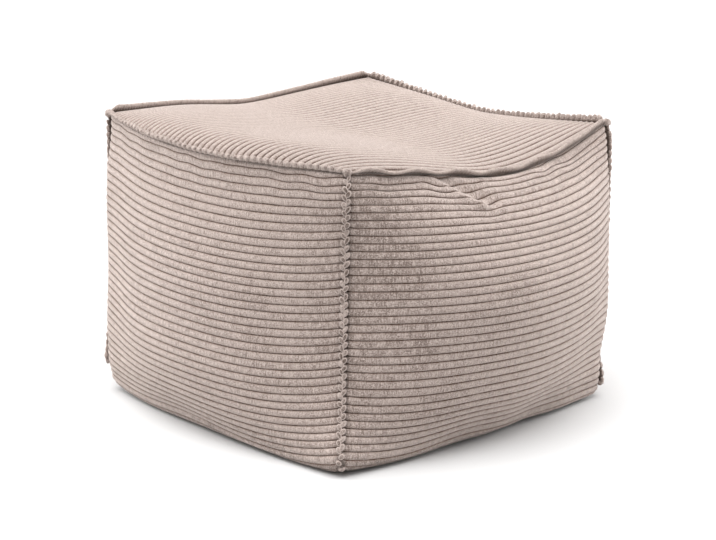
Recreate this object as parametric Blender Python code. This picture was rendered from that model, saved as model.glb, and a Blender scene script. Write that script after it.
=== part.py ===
"""Filled corduroy pouf: one square cushion with bulging sides, a sagging top and raised outside seams.

The four upright panels carry level wales. The top panel's wales run along X. The floor is z = 0 and
the origin lies under the middle of the whole pouf.
"""

import functools
import math
from collections import namedtuple

import bmesh
import bpy
import numpy as np

# Cord cloth
SIDE_WALES = 36
TOP_WALES = 48
WALE_RISE = 0.0016
GROOVE_SHARE = 0.22
PLAIN_END = 0.4

# Where the faces are divided along the wales: an even panel, and one that carries a crease
PLAIN_COLUMNS = (-1.0, -0.955, -0.66, -0.33, 0.0, 0.33, 0.66, 0.955, 1.0)
CREASED_COLUMNS = (-1.0, -0.955, -0.66, -0.44, -0.32, -0.2, -0.08, 0.04, 0.16, 0.45, 0.955, 1.0)
TOP_INSET = 0.018

# Outside seams
CORNER_SEAM_GAP = 0.0007
TOP_SEAM_GAP = 0.0013
SEAM_FOOT = 0.0016
SEAM_HALF_WIDTH = 0.0042
SEAM_BUMP = 0.0012
SEAM_HEIGHT = 0.0075
SEAM_WAIST = 0.5
SEAM_CREST = 0.55
SEAM_END = 0.006
SEAM_END_SIZE = 0.6
PANEL_PROBE = 0.02
CORNER_CLEARANCE = 0.0075
SMOOTH_SEAM_ROWS = 24

# Crown of the top, and the flat foot where the bottom rests on the floor: a square with round corners
TOP_CROWN = 0.022
CROWN_POWER = 4
FOOT_HALF_X = 0.206
FOOT_HALF_Y = 0.196
FOOT_POWER = 8
TURN_UNDER_ROWS = 4

# Where the middle of the whole pouf's box lies, measured from where the diagonals cross
MIDDLE = (0.0106, -0.0078)

# One row for each level, from the bottom seam to the top seam. share is the way up the panel, the
# next four are how far each corner seam lies from the axis, then the outward bulge of the two front
# panels, the height of the corner seams, and the height of each front panel's middle.
Level = namedtuple(
    "Level",
    "share near right back left bulge_left bulge_right corner middle_left middle_right",
)
LEVELS = (
    Level(0.00, 0.312, 0.298, 0.304, 0.304, 0.017, 0.022, 0.017, 0.009, 0.013),
    Level(0.06, 0.304, 0.296, 0.299, 0.304, 0.031, 0.040, 0.036, 0.027, 0.033),
    Level(0.15, 0.294, 0.290, 0.296, 0.301, 0.048, 0.066, 0.066, 0.055, 0.063),
    Level(0.30, 0.288, 0.294, 0.294, 0.298, 0.060, 0.085, 0.119, 0.105, 0.117),
    Level(0.50, 0.286, 0.298, 0.294, 0.294, 0.063, 0.097, 0.186, 0.175, 0.187),
    Level(0.75, 0.290, 0.299, 0.296, 0.295, 0.052, 0.076, 0.272, 0.257, 0.266),
    Level(0.92, 0.296, 0.299, 0.297, 0.294, 0.043, 0.037, 0.328, 0.316, 0.312),
    Level(1.00, 0.292, 0.297, 0.294, 0.296, 0.046, 0.020, 0.352, 0.345, 0.329),
)

# One row for each corner: its direction from the axis, how much its seam's two ends are lifted, and
# the share of the height where the seam's raised edge starts.
Corner = namedtuple("Corner", "name degrees top_lift low_lift raised_from")
CORNERS = (
    Corner("near", -135.0, -0.005, 0.010, 0.0),
    Corner("right", -45.0, -0.008, -0.005, 0.045),
    Corner("back", 45.0, -0.012, 0.000, 0.045),
    Corner("left", 135.0, -0.003, 0.005, 0.05),
)

# One row for each side panel: the corners that it runs between, how far below the top seam its first
# groove lies in wales, the top seam's own bulge and sag on the two back panels, how pointed the sag
# is, and how many degrees the top seam's raised edge leans down over the panel.
Side = namedtuple("Side", "name start end first_groove top_bulge top_sag sag_power lean columns")
SIDES = (
    Side("left_front", "left", "near", 0.80, None, None, 1.10, -20.0, PLAIN_COLUMNS),
    Side("right_front", "near", "right", 0.35, None, None, 1.10, 20.0, CREASED_COLUMNS),
    Side("right_back", "right", "back", 0.60, 0.004, 0.031, 1.25, 0.0, PLAIN_COLUMNS),
    Side("left_back", "back", "left", 0.15, 0.006, 0.025, 1.15, 0.0, PLAIN_COLUMNS),
)
LEVEL_POWER = 3.6

# The crease that hangs from the right front panel's top seam: along and up the panel, at both ends
CREASE_TOP = (-0.34, 0.975)
CREASE_END = (0.06, 0.80)
CREASE_WIDTH = 0.030
CREASE_DEPTH = 0.006
CREASE_FADE = 0.05

# The hollow low on the same panel: its place, how far it reaches along and up, and its depth
HOLLOW_PLACE = (0.36, 0.0)
HOLLOW_REACH = (0.24, 0.12)
HOLLOW_DEPTH = 0.006

PANEL_HALF_WIDTH = 0.23
PANEL_HEIGHT = 0.34

CLOTH_COLOR = (0.46, 0.38, 0.34)
SEAM_COLOR = (0.42, 0.34, 0.30)


def clear_scene():
    for obj in list(bpy.data.objects):
        bpy.data.objects.remove(obj, do_unlink=True)


def cloth_material(name, color):
    material = bpy.data.materials.new(name)
    material.use_nodes = True
    shader = material.node_tree.nodes["Principled BSDF"]
    shader.inputs["Base Color"].default_value = (*color, 1.0)
    shader.inputs["Roughness"].default_value = 0.9
    shader.inputs["Metallic"].default_value = 0.0
    return material


@functools.lru_cache(maxsize=None)
def smooth(share, column):
    """Value at share of a smooth curve through the level table's column, without overshoot."""
    x = np.array([level.share for level in LEVELS])
    y = np.array([getattr(level, column) for level in LEVELS])
    step = np.diff(x)
    rise = np.diff(y) / step
    slope = np.concatenate([rise[:1], np.zeros(len(x) - 2), rise[-1:]])
    for i in range(1, len(x) - 1):
        if rise[i - 1] * rise[i] > 0:
            first = 2 * step[i] + step[i - 1]
            second = step[i] + 2 * step[i - 1]
            slope[i] = (first + second) / (first / rise[i - 1] + second / rise[i])
    i = int(np.clip(np.searchsorted(x, share) - 1, 0, len(x) - 2))
    t = (share - x[i]) / step[i]
    start = y[i] * (1 + 2 * t) * (1 - t) ** 2 + slope[i] * step[i] * t * (1 - t) ** 2
    end = y[i + 1] * t * t * (3 - 2 * t) + slope[i + 1] * step[i] * t * t * (t - 1)
    return start + end


def top_weight(v):
    """Grows from 0 at half height to 1 at the top seam."""
    return max(0.0, (v - 0.5) / 0.5) ** 2


def low_weight(v):
    """Grows from 0 at half height to 1 at the bottom seam."""
    return max(0.0, (0.5 - v) / 0.5) ** 2


def corner_point(name, v):
    """A corner seam's point at the share v of its height."""
    corner = next(c for c in CORNERS if c.name == name)
    reach = smooth(v, name)
    angle = math.radians(corner.degrees)
    height = smooth(v, "corner") + corner.top_lift * top_weight(v) + corner.low_lift * low_weight(v)
    return np.array([reach * math.cos(angle), reach * math.sin(angle), height])


def bulge_and_middle(side, v):
    """The outward bulge of a side panel and the height of its middle at the share v."""
    if side.name == "left_front":
        return smooth(v, "bulge_left"), smooth(v, "middle_left")
    if side.name == "right_front":
        return smooth(v, "bulge_right"), smooth(v, "middle_right")
    near_top = top_weight(v)
    bulge = 0.5 * (smooth(v, "bulge_left") + smooth(v, "bulge_right"))
    middle = 0.5 * (smooth(v, "middle_left") + smooth(v, "middle_right"))
    bulge += (side.top_bulge - bulge) * near_top
    middle += (smooth(v, "corner") - side.top_sag - middle) * near_top
    return bulge, middle


def drawn_in(side, u, v):
    """How far the crease and the hollow draw the right front panel in at the place u, v."""
    if side.name != "right_front":
        return 0.0
    start = np.array(CREASE_TOP)
    run = np.array(CREASE_END) - start
    along = float(np.dot(np.array([u, v]) - start, run) / np.dot(run, run))
    foot = start + run * min(1.0, max(0.0, along))
    across = math.hypot((u - foot[0]) * PANEL_HALF_WIDTH, (v - foot[1]) * PANEL_HEIGHT)
    below_seam = min(1.0, (1 - v) / CREASE_FADE)
    crease = CREASE_DEPTH * below_seam * math.exp(-((across / (0.5 * CREASE_WIDTH)) ** 2))
    from_hollow = ((u - HOLLOW_PLACE[0]) / HOLLOW_REACH[0]) ** 2
    from_hollow += ((v - HOLLOW_PLACE[1]) / HOLLOW_REACH[1]) ** 2
    return crease + HOLLOW_DEPTH * math.exp(-from_hollow)


def panel_base(side, u, v):
    """A side panel's point before the wales: u runs from -1 to 1 along it, v from 0 to 1 up it."""
    start = corner_point(side.start, v)
    end = corner_point(side.end, v)
    bulge, middle = bulge_and_middle(side, v)
    half = 0.5 * float(np.linalg.norm((end - start)[:2]))
    along = (end - start)[:2] / (2 * half)
    outward = np.array([along[1], -along[0]])
    radius = (half * half + bulge * bulge) / (2 * bulge)
    angle = math.asin(min(1.0, half / radius)) * u
    depth = radius * math.cos(angle) - (radius - bulge) - drawn_in(side, u, v) * (1 - u * u)
    place = 0.5 * (start + end)[:2] + radius * math.sin(angle) * along + depth * outward
    power = LEVEL_POWER + (side.sag_power - LEVEL_POWER) * top_weight(v)
    corner_height = start[2] if u < 0 else end[2]
    height = middle + (corner_height - middle) * abs(u) ** power
    return np.array([place[0], place[1], height])


def normal_of(point, u, v, step=0.004):
    """The unit normal of the surface point(u, v), by small steps either way."""
    along = point(u + step, v) - point(u - step, v)
    up = point(u, v + step) - point(u, v - step)
    normal = np.cross(along, up)
    return normal / np.linalg.norm(normal)


def wale_rows(count, phase):
    """(share, height) of each row of faces across the wales, for groove lines that start at phase."""
    rows = [(0.0, 0.0)]
    for wale in range(-1, count + 1):
        groove = (wale + phase) / count
        for offset, height in ((0.0, 0.0), (GROOVE_SHARE, 1.0), (1 - GROOVE_SHARE, 1.0)):
            share = groove + offset / count
            if PLAIN_END / count < share < 1 - PLAIN_END / count:
                rows.append((share, height))
    rows.append((1.0, 0.0))
    return rows


def panel_point(side, u, v, height):
    """A side panel's point with its wale raised by the share height of the full rise."""
    base = panel_base(side, u, v)
    if abs(u) == 1.0 or height == 0.0:
        return base
    inner_v = min(0.99, max(0.01, v))
    normal = normal_of(lambda a, b: panel_base(side, a, b), u, inner_v)
    return base + WALE_RISE * height * normal


def patch(p, q, v):
    """The sheet stretched between the four seams at the level v, p along the wales, q across them."""
    left_front, right_front, right_back, left_back = SIDES
    across = 0.5 * (1 - p) * panel_base(left_front, -q, v) + 0.5 * (1 + p) * panel_base(right_back, q, v)
    along = 0.5 * (1 - q) * panel_base(right_front, p, v) + 0.5 * (1 + q) * panel_base(left_back, -p, v)
    corners = 0.25 * (
        (1 - p) * (1 - q) * corner_point("near", v)
        + (1 + p) * (1 - q) * corner_point("right", v)
        + (1 + p) * (1 + q) * corner_point("back", v)
        + (1 - p) * (1 + q) * corner_point("left", v)
    )
    return across + along - corners


def top_base(p, q):
    """The top panel's point before the wales: it rises steeply from the seams to a low crown."""
    point = patch(p, q, 1.0)
    point[2] += TOP_CROWN * (1 - abs(p) ** CROWN_POWER) * (1 - abs(q) ** CROWN_POWER)
    return point


def top_point(p, q, height):
    base = top_base(p, q)
    if height == 0.0:
        return base
    return base + WALE_RISE * height * normal_of(top_base, p, q)


def turned_under(seam_point, turn):
    """A bottom seam's point, turn = 0, brought round to the edge of the flat foot, turn = 1."""
    x, y, z = seam_point
    reach = math.hypot(x, y)
    across_x = (abs(x) / reach / FOOT_HALF_X) ** FOOT_POWER
    across_y = (abs(y) / reach / FOOT_HALF_Y) ** FOOT_POWER
    foot = (across_x + across_y) ** (-1 / FOOT_POWER)
    angle = 0.5 * math.pi * turn
    share = (foot + (reach - foot) * math.cos(angle)) / reach
    return (x * share, y * share, z * (1 - math.sin(angle)))


def stitch(mesh, first, second):
    """Joins two rows of points of different counts with triangles, facing left of first's run."""
    i = 0
    j = 0
    while i < len(first) - 1 or j < len(second) - 1:
        next_first = (i + 1) / (len(first) - 1) if i < len(first) - 1 else 2.0
        next_second = (j + 1) / (len(second) - 1) if j < len(second) - 1 else 2.0
        if next_first <= next_second:
            mesh.faces.new((first[i], first[i + 1], second[j]))
            i += 1
        else:
            mesh.faces.new((first[i], second[j + 1], second[j]))
            j += 1


def add_grid(mesh, rows):
    """Fills the faces between rows of equally many points."""
    for lower, upper in zip(rows, rows[1:]):
        for k in range(len(lower) - 1):
            mesh.faces.new((lower[k], lower[k + 1], upper[k + 1], upper[k]))


def object_from(mesh, name, material):
    """Turns a bmesh into a named object with its faces pointing out, shaded smooth on its wales."""
    bmesh.ops.recalc_face_normals(mesh, faces=mesh.faces)
    for vertex in mesh.verts:
        vertex.co.x -= MIDDLE[0]
        vertex.co.y -= MIDDLE[1]
    data = bpy.data.meshes.new(name)
    mesh.to_mesh(data)
    mesh.free()
    data.materials.append(material)
    data.shade_smooth()
    data.set_sharp_from_angle(angle=math.radians(40))
    obj = bpy.data.objects.new(name, data)
    bpy.context.scene.collection.objects.link(obj)
    return obj


def add_side_panel(mesh, side, start_column, end_column):
    """The upright panel between two corner columns of points, which its neighbours share."""
    rows = wale_rows(SIDE_WALES, -side.first_groove % 1)
    grid = []
    for v, height in rows:
        inner = [mesh.verts.new(panel_point(side, u, v, height)) for u in side.columns[1:-1]]
        grid.append(inner)
    add_grid(mesh, grid)
    stitch(mesh, [row[0] for row in grid], start_column)
    stitch(mesh, end_column, [row[-1] for row in grid])
    top = [start_column[-1]] + grid[-1] + [end_column[-1]]
    bottom = [start_column[0]] + grid[0] + [end_column[0]]
    return top, bottom


def add_top_panel(mesh, seams):
    """The top panel inside the four seam rows, in the order of SIDES."""
    left_front, right_front, right_back, left_back = seams
    rows = wale_rows(TOP_WALES, 0.5)[1:-1]
    columns = [p * (1 - TOP_INSET) for p in PLAIN_COLUMNS]
    grid = [
        [mesh.verts.new(top_point(p, 2 * share - 1, height)) for p in columns]
        for share, height in rows
    ]
    add_grid(mesh, grid)
    stitch(mesh, grid[0], right_front)
    stitch(mesh, left_front[::-1], [row[0] for row in grid])
    stitch(mesh, [row[-1] for row in grid], right_back)
    stitch(mesh, left_back[::-1], grid[-1])


def add_bottom(mesh, seams):
    """Rings of points that turn in from the bottom seams, closed by one flat face on the floor."""
    loop = []
    for seam in seams:
        loop.extend(seam[:-1])
    previous = loop
    for row in range(1, TURN_UNDER_ROWS + 1):
        current = [mesh.verts.new(turned_under(vertex.co, row / TURN_UNDER_ROWS)) for vertex in loop]
        for k in range(len(loop)):
            after = (k + 1) % len(loop)
            mesh.faces.new((previous[k], current[k], current[after], previous[after]))
        previous = current
    mesh.faces.new(previous[::-1])


def make_cushion(material):
    """The filled cushion: four side panels, the top and the bottom as one closed solid."""
    mesh = bmesh.new()
    column_rows = [k / (2 * SIDE_WALES) for k in range(2 * SIDE_WALES + 1)]
    columns = {
        corner.name: [mesh.verts.new(corner_point(corner.name, v)) for v in column_rows]
        for corner in CORNERS
    }
    tops = []
    bottoms = []
    for side in SIDES:
        top, bottom = add_side_panel(mesh, side, columns[side.start], columns[side.end])
        tops.append(top)
        bottoms.append(bottom)
    add_top_panel(mesh, tops)
    add_bottom(mesh, bottoms)
    return object_from(mesh, "cushion_body", material)


def seam_frame(before, after, side_a, side_b, lean=0.0):
    """Unit vectors out of the seam and across it, midway between its panels or leaning towards a."""
    along = (after - before) / np.linalg.norm(after - before)
    normal_a = np.cross(side_a, along)
    normal_b = np.cross(along, side_b)
    outward = normal_a / np.linalg.norm(normal_a) + normal_b / np.linalg.norm(normal_b)
    outward /= np.linalg.norm(outward)
    across = np.cross(along, outward)
    outward = math.cos(math.radians(lean)) * outward + math.sin(math.radians(lean)) * across
    return outward, np.cross(along, outward)


def make_seam(name, stations, gap, material):
    """A raised outside seam: a low rounded band with a narrow foot, its two edges in bumps.

    Each station is (point, outward, across, bump on one edge, bump on the other edge, size).
    """
    mesh = bmesh.new()
    rings = []
    for point, outward, across, bump_a, bump_b, size in stations:
        wide_a = size * (SEAM_HALF_WIDTH + SEAM_BUMP * bump_a)
        wide_b = size * (SEAM_HALF_WIDTH + SEAM_BUMP * bump_b)
        tall = size * (SEAM_HEIGHT + 0.5 * SEAM_BUMP * (bump_a + bump_b))
        foot = size * SEAM_FOOT
        section = (
            (-foot, gap),
            (foot, gap),
            (wide_a, SEAM_WAIST * tall),
            (SEAM_CREST * wide_a, tall),
            (-SEAM_CREST * wide_b, tall),
            (-wide_b, SEAM_WAIST * tall),
        )
        rings.append([mesh.verts.new(point + s * across + h * outward) for s, h in section])
    for lower, upper in zip(rings, rings[1:]):
        for k in range(len(lower)):
            after = (k + 1) % len(lower)
            mesh.faces.new((lower[k], lower[after], upper[after], upper[k]))
    mesh.faces.new(rings[0][::-1])
    mesh.faces.new(rings[-1])
    return object_from(mesh, name, material)


def corner_seam_stations(corner):
    """The stations up a corner seam, two to each wale, whose bumps alternate from edge to edge."""
    before = next(side for side in SIDES if side.end == corner.name)
    after = next(side for side in SIDES if side.start == corner.name)
    stations = []
    last = 2 * SIDE_WALES
    for k in range(math.ceil(corner.raised_from * last), last + 1):
        v = k / last
        point = corner_point(corner.name, v)
        below = corner_point(corner.name, max(0.0, v - PANEL_PROBE))
        above = corner_point(corner.name, min(1.0, v + PANEL_PROBE))
        side_a = panel_base(after, -1 + 2 * PANEL_PROBE, v) - point
        side_b = panel_base(before, 1 - 2 * PANEL_PROBE, v) - point
        outward, across = seam_frame(below, above, side_a, side_b)
        stations.append((point, outward, across, float(k % 2 == 0), float(k % 2 == 1), 1.0))
    for index, sign in ((0, -1), (-1, 1)):
        point, outward, across, bump_a, bump_b, _ = stations[index]
        beyond = point + sign * SEAM_END * np.cross(outward, across)
        end = (beyond, outward, across, bump_b, bump_a, SEAM_END_SIZE)
        stations.insert(0 if sign < 0 else len(stations), end)
    return stations


def seam_line(side, u):
    """The point at u on the straight runs between the top seam's points."""
    columns = side.columns
    u = min(1.0, max(-1.0, u))
    k = min(int(np.searchsorted(columns, u, side="right")) - 1, len(columns) - 2)
    t = (u - columns[k]) / (columns[k + 1] - columns[k])
    start = panel_base(side, columns[k], 1.0)
    return start + t * (panel_base(side, columns[k + 1], 1.0) - start)


def top_seam_stations(side, bumpy):
    """The stations along a top seam, which stop short of the corner seams at both ends."""
    index = SIDES.index(side)
    rows = 2 * TOP_WALES if bumpy else SMOOTH_SEAM_ROWS
    length = np.linalg.norm(corner_point(side.end, 1.0) - corner_point(side.start, 1.0))
    last = 1 - 2 * CORNER_CLEARANCE / length
    stops = [last * (2 * k / rows - 1) for k in range(rows + 1)]
    if not bumpy:
        stops = sorted(stops + [u for u in side.columns if 0.0 < abs(u) < last])
    stations = []
    for k, u in enumerate(stops):
        point = seam_line(side, u)
        inner = 1 - TOP_INSET
        inside = ((-inner, -u), (u, -inner), (inner, u), (-u, inner))[index]
        into_top = top_base(*inside) - point
        down_side = panel_base(side, u, 1 - PANEL_PROBE) - point
        before = seam_line(side, u - PANEL_PROBE)
        after = seam_line(side, u + PANEL_PROBE)
        outward, across = seam_frame(before, after, down_side, into_top, side.lean)
        bump = float(k % 2) if bumpy else 0.5
        size = SEAM_END_SIZE if k in (0, len(stops) - 1) else 1.0
        stations.append((point, outward, across, bump, bump, size))
    return stations


def main():
    clear_scene()
    make_cushion(cloth_material("corduroy", CLOTH_COLOR))
    for corner in CORNERS:
        name = "corner_seam_" + corner.name
        make_seam(name, corner_seam_stations(corner), CORNER_SEAM_GAP, cloth_material(name, SEAM_COLOR))
    for side in SIDES:
        name = "top_seam_" + side.name
        bumpy = side.name in ("left_front", "right_back")
        make_seam(name, top_seam_stations(side, bumpy), TOP_SEAM_GAP, cloth_material(name, SEAM_COLOR))


main()
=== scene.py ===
# %% [markdown]
# # A filled corduroy pouf
#
# The real thing is six panels of wide-wale corduroy, sewn with their edges outside and filled until
# the sides bulge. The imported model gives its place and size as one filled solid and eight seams. This
# file puts a finely ribbed panel over each face and a sewn edge over each seam.

# %% Load the frame
import math
from collections import namedtuple
from functools import partial

import bpy
import numpy as np
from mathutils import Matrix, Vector


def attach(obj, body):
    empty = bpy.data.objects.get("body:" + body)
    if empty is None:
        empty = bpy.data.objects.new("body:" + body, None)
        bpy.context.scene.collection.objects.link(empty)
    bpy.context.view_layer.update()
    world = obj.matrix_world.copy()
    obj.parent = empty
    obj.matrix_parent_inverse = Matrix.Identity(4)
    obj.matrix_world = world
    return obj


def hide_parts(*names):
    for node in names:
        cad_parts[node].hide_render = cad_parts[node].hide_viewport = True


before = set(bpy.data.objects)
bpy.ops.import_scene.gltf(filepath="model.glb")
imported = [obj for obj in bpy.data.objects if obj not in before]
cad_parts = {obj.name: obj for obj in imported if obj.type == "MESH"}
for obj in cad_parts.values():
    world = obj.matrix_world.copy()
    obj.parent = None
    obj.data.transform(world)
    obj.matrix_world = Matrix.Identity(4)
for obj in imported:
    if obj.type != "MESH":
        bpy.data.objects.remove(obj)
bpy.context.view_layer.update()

# %% [markdown]
# ## A short way to write shader sums
#
# A finish is a sum of masks, and a sum is easiest to read as a Python expression. One small class
# wraps a socket: adding, subtracting or multiplying two of them puts the Math node in. Colours and
# vectors have their own nodes, because a Math node would turn a colour grey.

# %% Sockets that can be added and multiplied


class Wire:
    """An output socket of a finish, ready for sums."""

    def __init__(self, finish, socket):
        self.finish = finish
        self.socket = socket

    def output(self, index):
        """Another output of the same node."""
        return Wire(self.finish, self.socket.node.outputs[index])

    def sum(self, operation, first, second):
        return self.finish.node("Math", {"operation": operation}, {0: first, 1: second})

    def __add__(self, other):
        return self.sum("ADD", self, other)

    def __radd__(self, other):
        return self.sum("ADD", other, self)

    def __sub__(self, other):
        return self.sum("SUBTRACT", self, other)

    def __rsub__(self, other):
        return self.sum("SUBTRACT", other, self)

    def __mul__(self, other):
        return self.sum("MULTIPLY", self, other)

    def __rmul__(self, other):
        return self.sum("MULTIPLY", other, self)


Grain = namedtuple("Grain", "along across scale detail roughness")


class Finish:
    """A material with its shader, and the nodes that are added to it."""

    def __init__(self, name):
        self.material = bpy.data.materials.new(name)
        self.material.use_nodes = True
        self.tree = self.material.node_tree
        self.shader = self.tree.nodes["Principled BSDF"]

    def node(self, kind, settings, sockets, output=0):
        """Adds a node: its type, its settings, and the values or wires of its sockets."""
        made = self.tree.nodes.new("ShaderNode" + kind)
        for name, value in settings.items():
            setattr(made, name, value)
        for name, value in sockets.items():
            self.plug(made.inputs[name], value)
        return Wire(self, made.outputs[output])

    def plug(self, socket, value):
        if isinstance(value, Wire):
            self.tree.links.new(value.socket, socket)
        else:
            socket.default_value = value

    def set(self, **constants):
        """Constants on the shader's own sockets, with _ for a space in the name."""
        for name, value in constants.items():
            self.shader.inputs[name.replace("_", " ")].default_value = value

    def feed(self, name, wire):
        self.plug(self.shader.inputs[name], wire)

    def attribute(self, name, output):
        return self.node("Attribute", {"attribute_name": name}, {}, output)

    def noise(self, place, grain):
        """Noise between 0 and 1; a grain that is small along or across is drawn out that way."""
        stretch = {0: place, 1: (grain.along, grain.across, 1.0)}
        place = self.node("VectorMath", {"operation": "MULTIPLY"}, stretch)
        sockets = {"Vector": place, "Scale": grain.scale}
        sockets.update({"Detail": grain.detail, "Roughness": grain.roughness})
        return self.node("TexNoise", {}, sockets)

    def between(self, value, low, high):
        """0 below low, 1 above high and a smooth step from one to the other."""
        settings = {"interpolation_type": "SMOOTHSTEP"}
        return self.node("MapRange", settings, {0: value, 1: low, 2: high})

    def mix(self, mask, first, second):
        """A colour mix: first where the mask is 0, second where it is 1."""
        return self.node("Mix", {"data_type": "RGBA"}, {0: mask, 6: first, 7: second}, output=2)

    def bump(self, height, distance, strength=1.0):
        sockets = {"Height": height, "Distance": distance, "Strength": strength}
        return self.node("Bump", {}, sockets)


print("shader kit ready")

# %% [markdown]
# ## How the filling has settled
#
# A cushion could be sculpted or simulated. Here its shape is known: at each height the four corner
# seams stand at a measured distance from the middle, and each panel bows out between two of them.
# So a short table of heights is enough, with a smooth curve through each of its columns. The same
# table made the solids of the frame. Three things are finer here: the swell beside the seams, the
# slight lean of the near seam, and the lifts, which raise or lower a panel's edge round one place.

# %% Tables of the settled shape, with lengths in metres and angles in degrees
Level = namedtuple(
    "Level",
    "share near right back left bulge_left bulge_right corner middle_left middle_right "
    "swell_left swell_right",
)
LEVELS = (
    Level(0.00, 0.312, 0.298, 0.304, 0.304, 0.017, 0.022, 0.017, 0.009, 0.013, 0.001, 0.001),
    Level(0.06, 0.304, 0.296, 0.299, 0.304, 0.031, 0.040, 0.036, 0.027, 0.033, 0.004, 0.005),
    Level(0.15, 0.294, 0.290, 0.296, 0.301, 0.048, 0.066, 0.066, 0.055, 0.063, 0.006, 0.008),
    Level(0.30, 0.288, 0.294, 0.294, 0.298, 0.060, 0.085, 0.119, 0.105, 0.117, 0.008, 0.009),
    Level(0.50, 0.286, 0.298, 0.294, 0.294, 0.063, 0.097, 0.186, 0.175, 0.187, 0.010, 0.006),
    Level(0.75, 0.290, 0.299, 0.296, 0.295, 0.052, 0.076, 0.272, 0.257, 0.266, 0.008, 0.004),
    Level(0.92, 0.296, 0.299, 0.297, 0.294, 0.043, 0.037, 0.328, 0.316, 0.312, 0.004, 0.004),
    Level(1.00, 0.292, 0.297, 0.294, 0.296, 0.046, 0.020, 0.352, 0.345, 0.329, 0.001, 0.002),
)
Corner = namedtuple("Corner", "degrees lean top_lift low_lift raised_from")
CORNERS = {
    "near": Corner(-135.2, 1.3, -0.005, 0.010, -0.03),
    "right": Corner(-45.0, 0.0, -0.008, -0.005, 0.020),
    "back": Corner(45.0, 0.0, -0.012, 0.000, 0.045),
    "left": Corner(135.0, 0.0, -0.003, 0.005, 0.05),
}
Side = namedtuple("Side", "start end first_groove top_bulge top_sag sag_power")
SIDES = {
    "left_front": Side("left", "near", 0.80, None, None, 1.10),
    "right_front": Side("near", "right", 0.35, None, None, 1.10),
    "right_back": Side("right", "back", 0.60, 0.004, 0.031, 1.25),
    "left_back": Side("back", "left", 0.15, 0.006, 0.025, 1.15),
}
Lift = namedtuple("Lift", "panel end place reach rise")
LIFTS = (
    Lift("right_front", "top", 0.25, 0.60, -0.0165),
    Lift("left_back", "top", 0.45, 0.35, 0.0040),
    Lift("left_front", "bottom", -0.20, 0.42, 0.0090),
    Lift("right_front", "bottom", -0.20, 0.30, 0.0070),
)
LIFT_END_POWER = 8
MIDDLE = np.array([0.0106, -0.0078, 0.0])
LEVEL_POWER = 3.6
SAG_SOFTNESS = 0.10


def through_levels(column, share):
    """A smooth curve through one column of the levels, without overshoot, read at each share."""
    x = np.array([level.share for level in LEVELS])
    y = np.array([getattr(level, column) for level in LEVELS])
    step = np.diff(x)
    rise = np.diff(y) / step
    slope = np.concatenate([rise[:1], np.zeros(len(x) - 2), rise[-1:]])
    for i in range(1, len(x) - 1):
        if rise[i - 1] * rise[i] > 0:
            first = 2 * step[i] + step[i - 1]
            second = step[i] + 2 * step[i - 1]
            slope[i] = (first + second) / (first / rise[i - 1] + second / rise[i])
    share = np.asarray(share, float)
    i = np.clip(np.searchsorted(x, share) - 1, 0, len(x) - 2)
    t = (share - x[i]) / step[i]
    start = y[i] * (1 + 2 * t) * (1 - t) ** 2 + slope[i] * step[i] * t * (1 - t) ** 2
    end = y[i + 1] * t * t * (3 - 2 * t) + slope[i + 1] * step[i] * t * t * (t - 1)
    return start + end


print("height of the corner seams at mid share:", float(through_levels("corner", 0.5)))

# %% [markdown]
# A corner seam is a curve that depends on the share v of its height. A side panel is the bow between
# two of those curves: u runs along its wales from -1 to 1. Near the top the panel's middle hangs
# lower than its corners, because the filling has settled under the seam.

# %% Corner seams and side panels as functions
FOOT_HALF_X = 0.206
FOOT_HALF_Y = 0.196
FOOT_POWER = 8
UNDER = 0.08


def top_weight(v):
    return np.maximum(0.0, (v - 0.5) / 0.5) ** 2


def low_weight(v):
    return np.maximum(0.0, (0.5 - v) / 0.5) ** 2


def turned_under(points, v):
    """Where v is below 0, the cloth goes on round a quarter ellipse to the flat foot on the floor."""
    angle = 0.5 * math.pi * np.clip(-v / UNDER, 0.0, 1.0)
    reach = np.linalg.norm(points[..., :2], axis=-1)
    across_x = (np.abs(points[..., 0]) / reach / FOOT_HALF_X) ** FOOT_POWER
    across_y = (np.abs(points[..., 1]) / reach / FOOT_HALF_Y) ** FOOT_POWER
    foot = (across_x + across_y) ** (-1 / FOOT_POWER)
    share = np.where(angle > 0, (foot + (reach - foot) * np.cos(angle)) / reach, 1.0)
    height = points[..., 2] * (1 - np.sin(angle))
    return np.stack([points[..., 0] * share, points[..., 1] * share, height], -1)


def corner_line(name, v):
    """Points of a corner seam at the shares v."""
    corner = CORNERS[name]
    up = np.maximum(v, 0.0)
    reach = through_levels(name, up)
    angle = np.radians(corner.degrees + corner.lean * up)
    height = through_levels("corner", up)
    height = height + corner.top_lift * top_weight(up) + corner.low_lift * low_weight(up)
    points = np.stack([reach * np.cos(angle), reach * np.sin(angle), height], -1)
    return turned_under(points, np.asarray(v))


def bulge_and_middle(name, v):
    if name == "left_front":
        return through_levels("bulge_left", v), through_levels("middle_left", v)
    if name == "right_front":
        return through_levels("bulge_right", v), through_levels("middle_right", v)
    side = SIDES[name]
    near_top = top_weight(v)
    bulge = 0.5 * (through_levels("bulge_left", v) + through_levels("bulge_right", v))
    middle = 0.5 * (through_levels("middle_left", v) + through_levels("middle_right", v))
    bulge = bulge + (side.top_bulge - bulge) * near_top
    middle = middle + (through_levels("corner", v) - side.top_sag - middle) * near_top
    return bulge, middle


def sag_curve(u, power):
    """0 in a panel's middle and 1 at its corners, with a rounded foot instead of a kink."""
    low = SAG_SOFTNESS**power
    high = (1 + SAG_SOFTNESS**2) ** (power / 2)
    return ((u * u + SAG_SOFTNESS**2) ** (power / 2) - low) / (high - low)


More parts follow.
